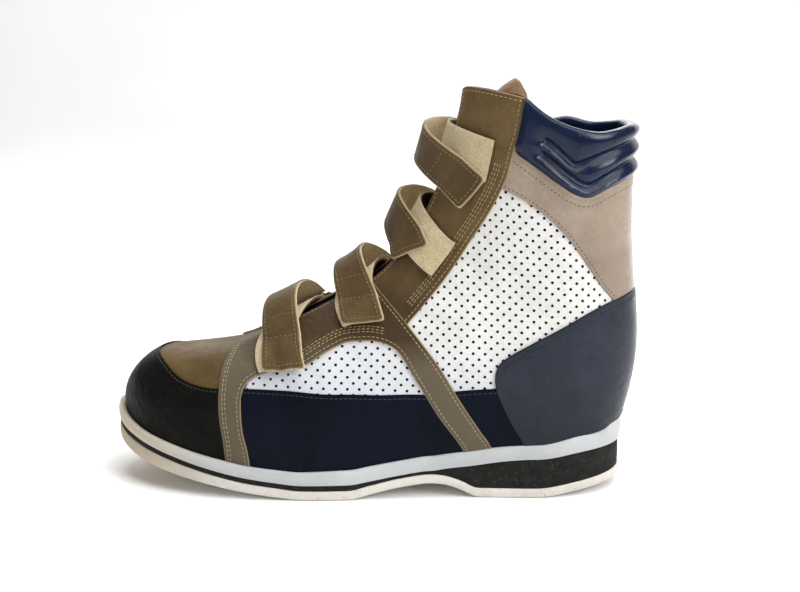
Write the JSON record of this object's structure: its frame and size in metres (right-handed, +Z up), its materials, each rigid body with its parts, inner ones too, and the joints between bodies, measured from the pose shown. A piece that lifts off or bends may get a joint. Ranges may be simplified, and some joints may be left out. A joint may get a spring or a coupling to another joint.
{
  "type": "orthopedic ankle boot",
  "caption": "Left ankle boot with a rocker sole, a raised heel wedge, leather overlays, a padded collar and strap closures over an open throat.",
  "frame": {"origin": "on the floor, under the middle of the flat spot of the heel tread", "axes": "+Z up, -X towards the toe, -Y towards the outer (little toe) side"},
  "size_m": [0.3155, 0.1052, 0.239],
  "materials": {
    "outsole": "moulded microcellular rubber, off-white, matt",
    "wedge": "ground black microcellular rubber",
    "midsole": "white foam, ground and lightly scuffed",
    "insole": "black lining over cork",
    "panel_leather": "white perforated leather with a taupe vamp plug",
    "facing_leather": "taupe grained leather, stitched",
    "counter_leather": "dark blue semi-gloss leather",
    "low_leather": "navy smooth leather",
    "quarter_leather": "light taupe glossy leather",
    "rand_leather": "black scuffed leather",
    "collar_leather": "navy padded leather with stitched channels",
    "tongue_leather": "brown leather",
    "strap_leather": "brown grained leather with loop pile on the inner face",
    "ring_metal": "nickel plated wire"
  },
  "bodies": {
    "root": {"outsole": "outsole", "heel_wedge": "wedge", "midsole": "midsole", "insole": "insole", "upper": "panel_leather", "facing_lower_outer": "facing_leather", "facing_upper_outer": "facing_leather", "facing_lower_inner": "facing_leather", "facing_upper_inner": "facing_leather", "counter": "counter_leather", "low_panel_front_outer": "low_leather", "low_panel_rear_outer": "low_leather", "low_panel_front_inner": "low_leather", "low_panel_rear_inner": "low_leather", "back_quarter": "quarter_leather", "toe_rand": "rand_leather", "collar": "collar_leather", "tongue": "tongue_leather", "strap_1": "strap_leather", "ring_1": "ring_metal", "chape_1": "strap_leather", "strap_2": "strap_leather", "ring_2": "ring_metal", "chape_2": "strap_leather", "strap_3": "strap_leather", "ring_3": "ring_metal", "chape_3": "strap_leather", "strap_4": "strap_leather", "ring_4": "ring_metal", "chape_4": "strap_leather"}
  },
  "joints": []
}
